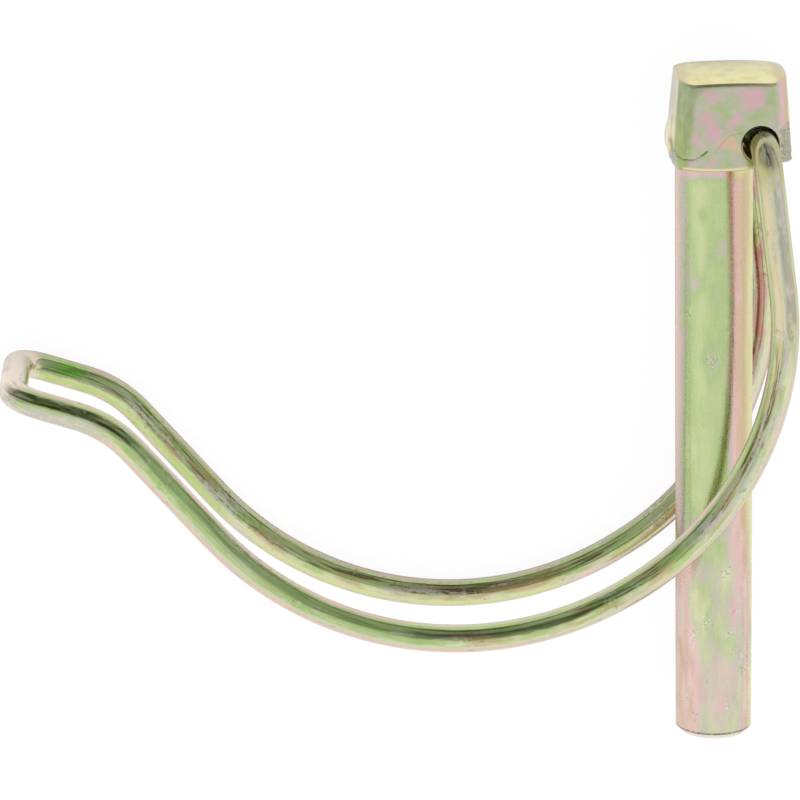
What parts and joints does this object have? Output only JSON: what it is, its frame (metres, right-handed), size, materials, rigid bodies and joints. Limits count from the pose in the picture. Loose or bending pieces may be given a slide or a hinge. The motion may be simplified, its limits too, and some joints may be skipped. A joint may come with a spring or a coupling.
{
  "type": "lynch pin",
  "caption": "Round steel locking pin with a forged head and a folding double wire bow that swings round a tube and over the pin's tip.",
  "frame": {"origin": "on the shank's axis, in the plane of the head's underside", "axes": "-Y along the shank towards its tip, +Z along the cross hole with the part lying on its side, +X to the side of the hinge"},
  "size_m": [0.1023, 0.0886, 0.024],
  "materials": {
    "pin_steel": "yellow chromate over bright zinc, with faint green and pink bands",
    "bow_wire": "yellow chromate over bright zinc, drawn lengthwise, with green and pink bands"
  },
  "bodies": {
    "pin": {"pin": "pin_steel"},
    "bow": {"bow": "bow_wire"}
  },
  "joints": [
    {"name": "bow_swing", "type": "hinge", "parent": "pin", "child": "bow", "pos_m": [0.0053, 0.0034, 0], "axis": [0, 0, 1], "continuous": true}
  ]
}
